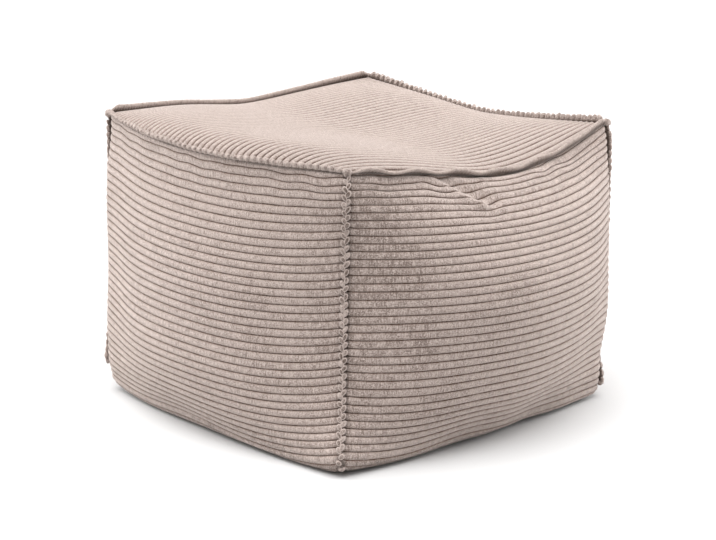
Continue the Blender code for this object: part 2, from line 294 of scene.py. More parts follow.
def side_base(name, u, share):
    """A side panel's points before its folds and wales, u along it and the share up it."""
    side = SIDES[name]
    u, share = np.broadcast_arrays(np.asarray(u, float), np.asarray(share, float))
    v = np.maximum(share, 0.0)
    start = corner_line(side.start, v)
    end = corner_line(side.end, v)
    bulge, middle = bulge_and_middle(name, v)
    chord = (end - start)[..., :2]
    half = 0.5 * np.linalg.norm(chord, axis=-1)
    along = chord / (2 * half)[..., None]
    outward = np.stack([along[..., 1], -along[..., 0]], -1)
    radius = (half**2 + bulge**2) / (2 * bulge)
    angle = np.arcsin(np.minimum(1.0, half / radius)) * u
    depth = radius * np.cos(angle) - (radius - bulge)
    place = 0.5 * (start + end)[..., :2] + (radius * np.sin(angle))[..., None] * along
    place = place + depth[..., None] * outward
    power = LEVEL_POWER + (side.sag_power - LEVEL_POWER) * top_weight(v)
    corner_height = np.where(u < 0, start[..., 2], end[..., 2])
    height = middle + (corner_height - middle) * sag_curve(u, power)
    for lift in LIFTS:
        if lift.panel == name:
            weight = top_weight(v) if lift.end == "top" else low_weight(v)
            spread = np.exp(-(((u - lift.place) / lift.reach) ** 2)) * (1 - u**LIFT_END_POWER)
            height = height + lift.rise * spread * weight
    return turned_under(np.concatenate([place, height[..., None]], -1), share)


print("right front panel's middle:", side_base("right_front", 0.0, 0.5).round(3))

# %% [markdown]
# ## Corduroy
#
# Corduroy is cotton velvet in ribs. Three things make it look right: the groove between two ribs
# carries painted shade, darker than the pile, where light hardly reaches the base cloth; the pile is
# speckled and finely streaked across the rib, where its rows of tufts stand; and brushed patches lean
# another way and look darker. The flanks of the ribs carry painted shade too, and some dark patches
# are painted shadow along the near seam and painted shade under the edge. Sheen brightens the pile
# where it is seen edge on. All of it follows the place on the flat cloth that each point carries, so
# the streaks turn with the wales. The sides are ruffled. The top has been sat smooth, and its grooves
# and the flanks of its ribs carry more painted shade than the sides.

# %% Corduroy finish
PILE = (0.440, 0.360, 0.325, 1.0)
PILE_BRIGHT = (0.660, 0.563, 0.517, 1.0)
PILE_DARK = (0.205, 0.157, 0.136, 1.0)
# The next two colours are painted shade: on the flanks of the ribs and in the grooves.
PILE_FLANK_SHADE = (0.275, 0.205, 0.172, 1.0)
GROOVE_SHADE = (0.150, 0.092, 0.066, 1.0)
WALE_METRES = 0.0095
RAGGED = Grain(1.0, 0.4, 420.0, 3.0, 0.5)
UNEVEN = Grain(1.0, 0.6, 55.0, 2.0, 0.5)
WIDE = Grain(1.0, 1.3, 13.0, 4.0, 0.62)
MOTTLE = Grain(1.2, 0.8, 110.0, 3.0, 0.62)
WALE_SHADES = Grain(0.10, 1.0, 105.0, 2.0, 0.5)
SPECKLE = Grain(1.0, 1.0, 560.0, 3.0, 0.65)
TUFTS = Grain(1.0, 0.15, 640.0, 2.0, 0.5)
RAGGED_SHARE = 0.30
UNEVEN_SHARE = 0.22
PATCH_STEP = (0.48, 0.70)
MOTTLE_STEP = (0.38, 0.72)
BRUSHED_AND_SHADED_STEP = (0.25, 0.60)
PATCH_LEAN = 0.18
MOTTLE_LEAN = 0.34
WALE_LEAN = 0.5
SPECKLE_STRENGTH = 2.8
TUFT_STRENGTH = 1.3
BRIGHT_SHARE = 0.06
FLANK_END = 0.90
GROOVE_END = 0.99
PILE_BUMP = 0.0015
Nap = namedtuple("Nap", "groove_start flank_start flank_share ruffled")
SIDE_NAP = Nap(0.78, 0.40, 0.45, 1.08)
TOP_NAP = Nap(0.73, 0.30, 0.56, 0.0)


def corduroy_finish(name, nap):
    """Corduroy with its own nap: the shares of the way from a crest to its groove where the painted
    shade of the groove and the painted shade on the flanks begin, how dark that shade on the flanks
    is, and how far the pile is ruffled."""
    finish = Finish(name)
    run = finish.node("SeparateXYZ", {}, {0: finish.attribute("cloth", 1)})
    wale = run.output(2)
    flat = finish.node("CombineXYZ", {}, {0: run, 1: wale * WALE_METRES, 2: 0.0})
    phase = finish.node("Math", {"operation": "FRACT"}, {0: wale})
    edge = finish.node("Math", {"operation": "ABSOLUTE"}, {0: phase * 2.0 - 1.0})
    edge = edge + (finish.noise(flat, RAGGED) - 0.5) * RAGGED_SHARE
    edge = edge + (finish.noise(flat, UNEVEN) - 0.5) * UNEVEN_SHARE
    groove = finish.between(edge, nap.groove_start, GROOVE_END)
    flank_shade = finish.between(edge, nap.flank_start, FLANK_END) * nap.flank_share
    patches = finish.between(finish.noise(flat, WIDE), *PATCH_STEP)
    mottle = finish.noise(flat, MOTTLE)
    speckle = finish.noise(flat, SPECKLE)
    tufts = finish.noise(flat, TUFTS)
    leaning_and_shade = finish.between(mottle, *MOTTLE_STEP) * MOTTLE_LEAN + patches * PATCH_LEAN
    # The brushed attribute holds brushed patches, painted shadow along the near seam and painted shade
    # under the edge.
    leaning_and_shade = leaning_and_shade + finish.attribute("brushed_and_shaded", 2) * finish.between(mottle, *BRUSHED_AND_SHADED_STEP)
    leaning_and_shade = leaning_and_shade + (finish.noise(flat, WALE_SHADES) - 0.5) * WALE_LEAN
    grain = (speckle - 0.5) * SPECKLE_STRENGTH + (tufts - 0.5) * TUFT_STRENGTH
    pile = finish.mix(leaning_and_shade * nap.ruffled + grain, PILE, PILE_DARK)
    pile = finish.mix(BRIGHT_SHARE - grain, pile, PILE_BRIGHT)
    # Painted shade on the flanks of the ribs.
    pile = finish.mix(flank_shade, pile, PILE_FLANK_SHADE)
    # Painted shade in the grooves between the ribs.
    finish.feed("Base Color", finish.mix(groove, pile, GROOVE_SHADE))
    finish.set(Roughness=0.92, Sheen_Weight=0.75, Sheen_Roughness=0.32)
    finish.set(Sheen_Tint=(1.0, 0.92, 0.87, 1.0), Specular_IOR_Level=0.10)
    height = speckle + tufts * 0.5 + mottle * 0.7 - groove * 0.3
    finish.feed("Normal", finish.bump(height, PILE_BUMP))
    print(name + ":", len(finish.tree.nodes), "nodes")
    return finish.material


CORDUROY = corduroy_finish("corduroy", SIDE_NAP)
TOP_CORDUROY = corduroy_finish("top_corduroy", TOP_NAP)

# %% [markdown]
# ## Folds
#
# The cloth is not taut everywhere. A long crease hangs from the right front panel's top seam, there
# is a hollow low on the same panel, and the seams pucker. Each fold is a soft ridge or trough along
# a short line: it is placed in the panel's own u and v, and it moves the cloth in or out.

# %% Folds of the side panels: from and to in u and v, then half width, rise and drop in metres
HALF_WIDTH = 0.23
PANEL_HEIGHT = 0.34
Fold = namedtuple("Fold", "panel start end width rise drop")
FOLDS = (
    Fold("right_front", (-0.50, 0.995), (-0.22, 0.862), 0.0055, 0.0036, 0.0),
    Fold("right_front", (-0.41, 0.985), (-0.14, 0.875), 0.0090, -0.0052, 0.0),
    Fold("right_front", (-0.42, 0.965), (-0.20, 0.870), 0.0180, 0.0, 0.0042),
    Fold("right_front", (-0.22, 0.862), (-0.10, 0.835), 0.0050, 0.0016, 0.0),
    Fold("right_front", (-0.90, 0.965), (-0.60, 0.955), 0.0090, -0.0025, 0.0020),
    Fold("right_front", (-0.12, 0.990), (-0.13, 0.955), 0.0045, 0.0024, 0.0014),
    Fold("right_front", (0.35, 0.975), (0.85, 0.955), 0.0080, -0.0020, 0.0030),
    Fold("left_front", (-0.75, 0.955), (-0.30, 0.97), 0.0100, -0.0028, 0.0010),
    Fold("left_front", (0.55, 0.985), (0.98, 0.94), 0.0090, -0.0022, 0.0015),
    Fold("right_back", (-0.30, 0.985), (0.05, 0.86), 0.0120, -0.0030, 0.0030),
    Fold("left_back", (0.20, 0.985), (0.42, 0.88), 0.0110, -0.0030, 0.0030),
)
HOLLOW_PLACE = (0.36, 0.0)
HOLLOW_REACH = (0.24, 0.12)
HOLLOW_DEPTH = 0.007
SEAM_FADE = 0.03


def fold_shape(fold, u, v):
    """1 along a fold's line, falling to 0 over its half width."""
    start = np.array(fold.start)
    run = np.array(fold.end) - start
    along = ((u - start[0]) * run[0] + (v - start[1]) * run[1]) / np.dot(run, run)
    along = np.clip(along, 0.0, 1.0)
    aside_u = (u - start[0] - along * run[0]) * HALF_WIDTH
    aside_v = (v - start[1] - along * run[1]) * PANEL_HEIGHT
    return np.exp(-(aside_u**2 + aside_v**2) / fold.width**2)


def folds_total(name, u, v, column):
    """One column of a panel's folds, added up at each point."""
    total = np.zeros(np.broadcast(u, v).shape)
    for fold in FOLDS:
        if fold.panel == name:
            total = total + getattr(fold, column) * fold_shape(fold, u, v)
    return total


def spot(u, v, place, reach):
    """1 at a place on a panel, falling softly to 0 over its reach."""
    away = ((u - place[0]) / reach[0]) ** 2 + ((v - place[1]) / reach[1]) ** 2
    return np.exp(-away)


def fold_rise(name, u, v):
    """How far the folds move a panel's cloth out, in metres."""
    rise = folds_total(name, u, v, "rise")
    if name == "right_front":
        rise = rise - HOLLOW_DEPTH * spot(u, v, HOLLOW_PLACE, HOLLOW_REACH)
    return rise * np.clip((1 - v) / SEAM_FADE, 0.0, 1.0) * (1 - u * u)


print("folds:", len(FOLDS))

# %% [markdown]
# The cloth isn't only pushed in and out. It also hangs: a fold pulls the wales beside it down, and
# the first wales under a top seam are wavy and uneven, because the seam gathers them. Beside an
# upright seam the filling swells the cloth into a soft shoulder, so that the seam lies in a valley.

# %% Hanging wales and shoulders
PUCKER_DROP = 0.0011
PUCKER_REACH = 0.011
PUCKER_PACE = (8.0, 38.0)
WAVES = 5
SHOULDER_PLACE = 0.014
BACK_SWELL = 0.006
NEAR_SWELL = 0.0015


def waves_along(u, seed, pace):
    """An uneven wavy line along a seam, between about -1 and 1; the pace is radians for each u."""
    random = np.random.default_rng(seed)
    total = np.zeros(np.shape(u))
    for _ in range(WAVES):
        total = total + np.sin(random.uniform(*pace) * u + random.uniform(0, 2 * math.pi))
    return total / WAVES**0.5


def hang(name, u, v, seed):
    """How much lower the cloth hangs, as a share of the panel's height."""
    drop = folds_total(name, u, v, "drop") * np.clip((1 - v) / SEAM_FADE, 0.0, 1.0)
    below = np.maximum(0.0, 1 - v) * PANEL_HEIGHT / PUCKER_REACH
    gather = below * np.exp(1 - below)
    return (drop + PUCKER_DROP * waves_along(u, seed, PUCKER_PACE) * gather) / PANEL_HEIGHT


def shoulder(name, u, v):
    """How far the cloth swells beside the upright seams at a panel's two ends, in metres."""
    swell = {
        "near": NEAR_SWELL,
        "back": BACK_SWELL,
        "left": through_levels("swell_left", np.maximum(v, 0.0)),
        "right": through_levels("swell_right", np.maximum(v, 0.0)),
    }
    total = 0.0
    for corner, place in ((SIDES[name].start, 1 + u), (SIDES[name].end, 1 - u)):
        away = np.maximum(0.0, place) * HALF_WIDTH / SHOULDER_PLACE
        total = total + swell[corner] * away * np.exp(1 - away)
    return total


print("left shoulder:", round(float(shoulder("left_front", -0.94, 0.5)) * 1000, 1), "mm")

# %% [markdown]
# Cloth is never quite even, so the panels also carry a slow sway: a few long waves, added up with
# phases from a seeded generator. They push the cloth in and out by about a millimetre.

# %% Slow sway of the cloth
SWAY = 0.0011
SWAY_PACE = (1.5, 7.0)


def sway(u, v, seed):
    """A smooth uneven field between about -1 and 1 over a panel."""
    random = np.random.default_rng(seed)
    total = np.zeros(np.broadcast(u, v).shape)
    for _ in range(WAVES):
        across, up = random.uniform(*SWAY_PACE, 2)
        phase = random.uniform(0, 2 * math.pi)
        total = total + np.sin(across * u + up * 2 * (v - 0.5) + phase)
    return total / WAVES**0.5


print("sway at a panel's middle:", round(float(sway(0.0, 0.5, 1)), 3))

# %% [markdown]
# ## Wales
#
# A wale is a rib of cut pile, broad and flat on top, with a narrow groove to the next one. A bump
# map would look flat at the edges, so the ribs are real: each has nine rows of points, crowded
# where the cloth dives into the groove.

# %% One wale's section
SIDE_WALES = 36
TOP_WALES = 48
WALE_RISE = 0.0027
TOP_WALE_RISE = 0.0036
GROOVE_DIP = 0.0009
WALE_ROUNDNESS = 2.1
CREST = 0.5
ROW_PLACES = (0.0, 0.05, 0.12, 0.22, 0.37, 0.63, 0.78, 0.88, 0.95)
EDGE_GAP = 0.1


def wale_height(phase, full):
    """The rib's rise at a phase, where whole numbers are grooves and halves are crests."""
    from_crest = np.abs(2 * (phase - np.floor(phase)) - 1)
    rib = (1 - from_crest**WALE_ROUNDNESS) ** (1 / WALE_ROUNDNESS)
    return full * rib - GROOVE_DIP


def wale_rows(count, first_groove):
    """(share across the panel, phase) of every row of points, with a gap beside the two seams."""
    rows = [(0.0, -first_groove)]
    for wale in range(-1, count + 1):
        for place in ROW_PLACES:
            share = (wale + first_groove + place) / count
            if EDGE_GAP / count < share < 1 - EDGE_GAP / count:
                rows.append((share, wale + place))
    rows.append((1.0, count - first_groove))
    return np.array(rows).T


print("rows across a side panel:", wale_rows(SIDE_WALES, 0.2).shape[1])

# %% [markdown]
# A panel is a grid of points: rows across the wales, columns along them. The surface is moved out
# along its own normal, which comes from small steps either way. At the seams the cloth tucks in to
# the stitches and its ribs are squeezed lower. Each point also remembers where it lies on the flat
# cloth, in metres and in wales, so that the finish can follow the weave.

# %% From a surface to a mesh
TUCK_REACH = 0.009
TUCK_DEPTH = 0.0030
SQUEEZED = 0.4
PROBE = 0.004


def unit(vectors):
    return vectors / np.linalg.norm(vectors, axis=-1, keepdims=True)


def normals_of(surface, u, v, low=-1.0):
    """Unit normals of surface(u, v), where v runs from low to 1."""
    inner = np.clip(v, low + PROBE, 1 - PROBE)
    along = surface(u + PROBE, inner) - surface(u - PROBE, inner)
    up = surface(u, inner + PROBE) - surface(u, inner - PROBE)
    return unit(np.cross(along, up))


def tuck(distance):
    """How far the cloth is drawn in at a distance from a seam."""
    near = np.clip(1 - distance / TUCK_REACH, 0.0, 1.0)
    return TUCK_DEPTH * near**2


def rib_share(distance):
    """The share of its height that a rib keeps at a distance from a seam."""
    return np.minimum(1.0, SQUEEZED + distance / TUCK_REACH)


def remember(mesh, name, kind, key, values):
    """Stores a value at each point of a mesh, under a name that a finish can ask for."""
    mesh.attributes.new(name, kind, "POINT")
    mesh.attributes[name].data.foreach_set(key, np.asarray(values, np.float32).ravel())


def grid_object(name, points, cloth, brushed_and_shaded, material):
    """A sheet of quads over rows of points, with the place on the flat cloth kept at each point."""
    rows, columns = points.shape[:2]
    index = np.arange(rows * columns).reshape(rows, columns)
    corners = (index[:-1, :-1], index[:-1, 1:], index[1:, 1:], index[1:, :-1])
    faces = np.stack([corner.ravel() for corner in corners], -1).tolist()
    sheet = mesh_object(name, points.reshape(-1, 3), faces, cloth, material)
    remember(sheet.data, "brushed_and_shaded", "FLOAT", "value", brushed_and_shaded)
    return sheet


def placed(name, data):
    """A new object in the scene that holds a mesh, a lamp or a camera."""
    obj = bpy.data.objects.new(name, data)
    bpy.context.scene.collection.objects.link(obj)
    return obj


def mesh_object(name, points, faces, cloth, material):
    """An object that stands on or above the floor, in the frame's own place."""
    mesh = bpy.data.meshes.new(name)
    points = points - MIDDLE
    points[:, 2] = np.maximum(points[:, 2], 0.0)
    mesh.from_pydata(points.tolist(), [], faces)
    remember(mesh, "cloth", "FLOAT_VECTOR", "vector", cloth)
    mesh.materials.append(material)
    mesh.shade_smooth()
    print(name, "has", sum(len(face.vertices) - 2 for face in mesh.polygons), "triangles")
    return placed(name, mesh)


print("at a seam the cloth tucks in by", 1000 * TUCK_DEPTH, "mm")

# %% [markdown]
# People sit down, stand up and stroke the pile the other way, so some patches look darker. Two of
# them instead are painted shadow along the near seam of the right front panel. They are soft spots,
# placed like the folds, that the finish reads as a number at each point.

# %% Brushed patches and painted shadow: panel, place, reach and strength
Patch = namedtuple("Patch", "panel place reach strength")
PATCHES = (
    # Painted shadow along the near seam:
    Patch("right_front", (-0.97, 0.45), (0.16, 0.60), 0.45),
    Patch("right_front", (-0.80, 0.84), (0.22, 0.16), 0.48),
    # Brushed patches:
    Patch("right_front", (-0.20, 0.88), (0.30, 0.10), 0.22),
    Patch("right_front", (0.45, 0.90), (0.40, 0.07), 0.30),
    Patch("right_front", (-0.70, 0.60), (0.16, 0.10), 0.40),
    Patch("right_front", (-0.62, 0.40), (0.07, 0.09), 0.60),
    Patch("right_front", (-0.74, 0.42), (0.05, 0.05), 0.45),
    Patch("right_front", (-0.50, 0.16), (0.16, 0.05), 0.30),
    Patch("right_front", (-0.10, 0.56), (0.16, 0.06), 0.22),
    Patch("right_front", (0.45, 0.02), (0.22, 0.06), 0.12),
    Patch("left_front", (0.55, 0.40), (0.10, 0.22), 0.25),
    Patch("left_front", (0.88, 0.50), (0.10, 0.50), 0.28),
    Patch("left_front", (0.15, 0.55), (0.30, 0.30), 0.16),
    Patch("left_front", (0.55, 0.02), (0.40, 0.05), 0.35),
    Patch("right_back", (0.20, 0.50), (0.22, 0.16), 0.35),
    Patch("left_back", (-0.30, 0.60), (0.20, 0.14), 0.35),
)
# Painted shade under the edge, where the cloth turns under towards the floor.
UNDERSIDE_SHADE = 0.8
UNDERSIDE_SHADE_PACE = 3.0


def brushed_and_shaded_share(name, u, v):
    """How far the pile of a panel lies down at each point, with painted shadow along the near seam and
    painted shade under the edge.
    """
    total = np.zeros(np.broadcast(u, v).shape)
    for patch in PATCHES:
        if patch.panel == name:
            total = total + patch.strength * spot(u, v, patch.place, patch.reach)
    return np.maximum(total, UNDERSIDE_SHADE * np.clip(-UNDERSIDE_SHADE_PACE * v / UNDER, 0.0, 1.0))


print("brushed patches:", len(PATCHES))

# %% [markdown]
# The columns stand closer together near the two seams at a panel's ends, where the cloth turns in.

# %% Side panels
COLUMNS = 120
END_CROWDING = 0.25
RIB_FADE = 0.002
UNDER_ROWS = 48
PANEL_APART = 2.0


def crowded(count):
    """count places from -1 to 1 that stand closer at both ends."""
    even = np.linspace(-1.0, 1.0, count)
    return (1 - END_CROWDING) * even + END_CROWDING * np.sin(0.5 * math.pi * even)


def side_panel(name, seed):
    surface = partial(side_base, name)
    shares, phases = wale_rows(SIDE_WALES, -SIDES[name].first_groove % 1)
    below = np.linspace(-UNDER, 0.0, UNDER_ROWS + 1)[:-1]
    u, v = np.meshgrid(crowded(COLUMNS), np.concatenate([below, shares]))
    v = v - hang(name, u, v, seed) * (v > 0)
    base = surface(u, v)
    steps = np.linalg.norm(np.diff(base[: UNDER_ROWS + 1], axis=0), axis=-1)
    under = np.cumsum(steps[::-1], axis=0)[::-1] / (PANEL_HEIGHT / SIDE_WALES)
    upper = np.repeat(phases[:, None], COLUMNS, axis=1)
    phase = np.concatenate([phases[0] - under, upper])
    normals = normals_of(surface, u, v, -UNDER)
    from_end = (1 - np.abs(u)) * HALF_WIDTH
    from_edge = (1 - v) * PANEL_HEIGHT
    ends = np.minimum(1.0, from_end / TUCK_REACH) * np.clip(from_edge / TUCK_REACH, 0.0, 1.0)
    rise = fold_rise(name, u, v) + shoulder(name, u, v) + SWAY * sway(u, v, seed) * ends
    rib = rib_share(from_end) * np.clip(from_edge / RIB_FADE, 0.0, 1.0)
    rise = rise + wale_height(phase, WALE_RISE) * rib - tuck(np.minimum(from_end, from_edge))
    points = base + rise[..., None] * normals
    cloth = np.stack([u * HALF_WIDTH + seed * PANEL_APART, v * PANEL_HEIGHT, phase], -1)
    return grid_object("side_panel_" + name, points, cloth, brushed_and_shaded_share(name, u, v), CORDUROY)


panels = [side_panel(name, seed) for seed, name in enumerate(SIDES)]

# %% [markdown]
# ## Top and bottom
#
# The top panel hangs between the four seams like a sheet in a frame, and the filling lifts it to a
# low crown that rises steeply at its edges. Four curves that meet at four corners define such a
# sheet: each pair of opposite curves is blended across, and the flat sheet of the corners is taken
# off once.

# %% Top panel
TOP_CROWN = 0.022
CROWN_POWER = 4.0
FRONT_POWER = 12.0
FRONT_SOFTER = 6.0
BACK_POWER = 3.0
TOP_SEED = 11


def sheet_between_seams(p, q, v):
    """The sheet between the four seams at the level v, p along the top's wales and q across them."""
    across = 0.5 * (1 - p)[..., None] * side_base("left_front", -q, v)
    across = across + 0.5 * (1 + p)[..., None] * side_base("right_back", q, v)
    along = 0.5 * (1 - q)[..., None] * side_base("right_front", p, v)
    along = along + 0.5 * (1 + q)[..., None] * side_base("left_back", -p, v)
    corners = 0.25 * (
        ((1 - p) * (1 - q))[..., None] * corner_line("near", v)
        + ((1 + p) * (1 - q))[..., None] * corner_line("right", v)
        + ((1 + p) * (1 + q))[..., None] * corner_line("back", v)
        + ((1 - p) * (1 + q))[..., None] * corner_line("left", v)
    )
    return across + along - corners


def top_base(p, q):
    """The top panel, whose crown rises most steeply at the left front seam."""
    points = sheet_between_seams(p, q, 1.0)
    along_power = np.where(p < 0, FRONT_POWER - FRONT_SOFTER * np.minimum(1.0, q * q), CROWN_POWER)
    across_power = np.where(q > 0, BACK_POWER, CROWN_POWER)
    points[..., 2] += TOP_CROWN * (1 - np.abs(p) ** along_power) * (1 - np.abs(q) ** across_power)
    return points


def top_panel(seed):
    shares, phases = wale_rows(TOP_WALES, CREST)
    p, q = np.meshgrid(crowded(COLUMNS), 2 * shares - 1)
    phase = np.meshgrid(crowded(COLUMNS), phases)[1]
    base = top_base(p, q)
    normals = normals_of(top_base, p, q)
    from_seam = (1 - np.maximum(np.abs(p), np.abs(q))) * HALF_WIDTH
    inside = np.minimum(1.0, from_seam / TUCK_REACH)
    rise = SWAY * sway(p, 0.5 * q + 0.5, seed) * inside
    rise = rise + wale_height(phase, TOP_WALE_RISE) * rib_share(from_seam) - tuck(from_seam)
    cloth = np.stack([p * HALF_WIDTH - PANEL_APART, q * HALF_WIDTH, phase], -1)
    points = base + rise[..., None] * normals
    return grid_object("top_panel", points, cloth, np.zeros(p.shape), TOP_CORDUROY)


panels.append(top_panel(TOP_SEED))

# %% [markdown]
# The bottom panel is pressed flat by the weight of the filling. The side panels turn under to the
# foot line, and rings inside that line close the floor side. Hardly anything of it is ever seen, so
# it has no ribs of its own.

# %% Bottom panel
FOOT_RINGS = 10
BOTTOM_STEPS = 24


def bottom_panel():
    """Flat rings on the floor, inside the edge where the side panels arrive."""
    u = np.linspace(-1.0, 1.0, BOTTOM_STEPS + 1)[:-1]
    loop = np.concatenate([side_base(name, u, -UNDER) for name in SIDES])
    loop = np.concatenate([loop, loop[:1]])
    shares = 1 - np.arange(FOOT_RINGS + 1) / (FOOT_RINGS + 0.5)
    points = shares[:, None, None] * loop
    cloth = points.copy()
    cloth[..., 2] = CREST
    # The whole bottom panel carries the same painted shade as the underside.
    return grid_object("bottom_panel", points, cloth, np.full(points.shape[:2], UNDERSIDE_SHADE), CORDUROY)


panels.append(bottom_panel())

# %% [markdown]
# ## Outside seams
#
# At each seam the two cut edges are turned outside and bound together by an overlock stitch. At an
# upright seam the wales end, and the stitches squeeze each end into a small pillow of pile, first
# from one panel, then from the other, so the seam looks like a braid on a low band. A top seam is a
# thin standing edge. Tubes of thread go over both. Every part of a seam is a closed shape, and the
# shapes simply overlap, as crowded pile does.

# %% Simple solids for the seams
Frame = namedtuple("Frame", "point along outward across")


def belts(first, rows, around):
    """Quads between rows of points that each go once around, from the point numbered first."""
    faces = []
    for row in range(rows - 1):
        low = first + row * around
        for k in range(around):
            after = (k + 1) % around
            faces.append([low + k, low + after, low + around + after, low + around + k])
    return faces


class Solids:
    """Collects closed shapes that become one mesh."""

    def __init__(self):
        self.points = []
        self.faces = []
        self.cloth = []
        self.count = 0

    def add(self, points, faces, cloth):
        self.points.append(points)
        self.faces.extend([[self.count + i for i in face] for face in faces])
        self.cloth.append(cloth)
        self.count += len(points)

    def loft(self, rings, cloth):
        """A tube through rings of points, closed at both ends."""
        count, around = rings.shape[:2]
        faces = belts(0, count, around)
        faces.append(list(range(around))[::-1])
        faces.append([(count - 1) * around + k for k in range(around)])
        self.add(rings.reshape(-1, 3), faces, cloth.reshape(-1, 3))

    def object(self, name, material):
        points = np.concatenate(self.points)
        return mesh_object(name, points, self.faces, np.concatenate(self.cloth), material)


def ball(rings, around):
    """Points and faces of a unit ball, whose poles lie along its first axis."""
    points = [(-1.0, 0.0, 0.0)]
    for row in range(1, rings):
        angle = math.pi * row / rings
        reach = math.sin(angle)
        for k in range(around):
            turn = 2 * math.pi * k / around
            points.append((-math.cos(angle), reach * math.cos(turn), reach * math.sin(turn)))
    points.append((1.0, 0.0, 0.0))
    faces = [[0, 1 + (k + 1) % around, 1 + k] for k in range(around)]
    faces += belts(1, rings - 1, around)
    last = len(points) - 1
    low = last - around
    faces += [[low + k, low + (k + 1) % around, last] for k in range(around)]
    return np.array(points), faces


BALL_POINTS, BALL_FACES = ball(7, 10)
print("a pillow of pile has", len(BALL_FACES), "faces")

# %% [markdown]
# A seam's frame is a point on the seam and three directions: along it, out of it, and across it.
# At an upright seam, out is midway between the two panels, whose slopes are measured by a small step
# into each. At a top seam the edge stands out at an angle above level that is given for each place.

# %% Frames along the seams
SEAM_PROBE = 0.02


def sides_at(corner):
    """The panel that ends at a corner and the panel that starts there."""
    before = next(name for name, side in SIDES.items() if side.end == corner)
    after = next(name for name, side in SIDES.items() if side.start == corner)
    return before, after


def frames_at(point, before, after, outward):
    """Frames whose outward direction is squared up to the seam."""
    along = unit(after - before)
    across = unit(np.cross(along, outward))
    return Frame(point, along, np.cross(across, along), across)


def corner_frames(name, v):
    before_side, after_side = sides_at(name)
    point = corner_line(name, v)
    below = corner_line(name, v - SEAM_PROBE)
    above = corner_line(name, np.minimum(1.0, v + SEAM_PROBE))
    along = unit(above - below)
    into_a = side_base(after_side, -1 + 2 * SEAM_PROBE, v) - point
    into_b = side_base(before_side, 1 - 2 * SEAM_PROBE, v) - point
    outward = unit(np.cross(into_a, along)) + unit(np.cross(along, into_b))
    return frames_at(point, below, above, outward)


def top_frames(name, u, degrees):
    """Frames of a top seam whose edge stands out at an angle above level, in degrees."""
    before = side_base(name, u - SEAM_PROBE, 1.0)
    after = side_base(name, u + SEAM_PROBE, 1.0)
    level = unit(np.cross(after - before, (0.0, 0.0, 1.0)))
    angle = np.radians(degrees)[:, None]
    outward = np.cos(angle) * level + np.sin(angle) * np.array([0.0, 0.0, 1.0])
    return frames_at(side_base(name, u, 1.0), before, after, outward)


print("near seam leans out by", corner_frames("near", np.array([0.5])).outward.round(2).tolist())

# %% [markdown]
# The band under the pile is a loft: the same eight-sided section, drawn in millimetres, is set up at
# every frame. A thread is a loft of small rings along a path. The cloth place of a seam is another
# one than a panel's: metres along the seam, a darkness that is painted shade in the gaps between
# pillows and teeth and a random darker tone on the pillows, and the share of the way out, whose low
# end lies in the painted shade of the root.

# %% Bands, pillows and thread
BAND_SECTION = (
    (-0.8, -2.5), (0.8, -2.5), (2.3, 1.0), (2.2, 4.4),
    (0.9, 5.6), (-0.9, 5.6), (-2.2, 4.4), (-2.3, 1.0),
)
MM = 0.001
PILLOW_TILT = 27.0
PILLOW_LENGTH = 0.0047
PILLOW_WIDE = 0.0026
PILLOW_TALL = 0.0032
PILLOW_OFFSET = 0.0018
PILLOW_OUT = 0.0044
THREAD_SIDES = 5


def put_section(frames, section, across_size, out_size):
    """Rings of a section across and out, set up at each frame, at that frame's two sizes."""
    across, out = np.array(section).T
    rings = frames.point[:, None] + (across_size[:, None] * across)[..., None] * frames.across[:, None]
    return rings + (out_size[:, None] * out)[..., None] * frames.outward[:, None]


def section_cloth(run, section, shade):
    """Place on the cloth: metres along the seam, how much painted shade it gets, and the share of the
    way out.
    """
    out = np.array(section)[:, 1]
    shade = np.repeat(shade[:, None], len(out), axis=1)
    run, out = np.meshgrid(run, out / out.max(), indexing="ij")
    return np.stack([run, shade, np.clip(out, 0.0, 1.0)], -1)


def add_threads(solids, paths, guides, radius, random):
    """Round thread along each path; the guides are directions that no path runs along."""
    along = unit(np.gradient(paths, axis=1))
    first = unit(np.cross(along, guides))
    second = np.cross(along, first)
    turn = 2 * math.pi * np.arange(THREAD_SIDES) / THREAD_SIDES
    rings = np.cos(turn)[:, None] * first[:, :, None] + np.sin(turn)[:, None] * second[:, :, None]
    rings = paths[:, :, None] + radius * rings
    for path, tube in zip(paths, rings):
        steps = np.linalg.norm(np.diff(path, axis=0), axis=-1)
        run = np.concatenate([[0.0], np.cumsum(steps)]) + random.uniform()
        cloth = np.zeros(tube.shape)
        cloth[..., 0] = run[:, None]
        solids.loft(tube, cloth)


print("a pillow is", 2000 * PILLOW_WIDE, "mm wide")

# %% [markdown]
# Each squeezed wale end is a small ball of pile, stretched along the seam and tilted, so that the two
# columns interlock. A loop of the overlock thread lies round it and shows as a fine ring. The balls
# shrink to a share of their size near the top, where the seam thins out under the top panel.

# %% Squeezed wale ends and their loops of thread
LOOP_STEPS = 16
LOOP_RADIUS = 0.00095
LOOP_SHARE = 0.72
LOOP_OUT = 0.45
PILLOW_SHADE = 0.8
PILLOW_TURN = 16.0
PILLOW_SHIFT = 0.0004
PILLOW_UNEVEN = 0.18
KNOT_SHADE = 0.25
KNOT_LUMPS = 0.10
KNOT_RIPPLES = 9


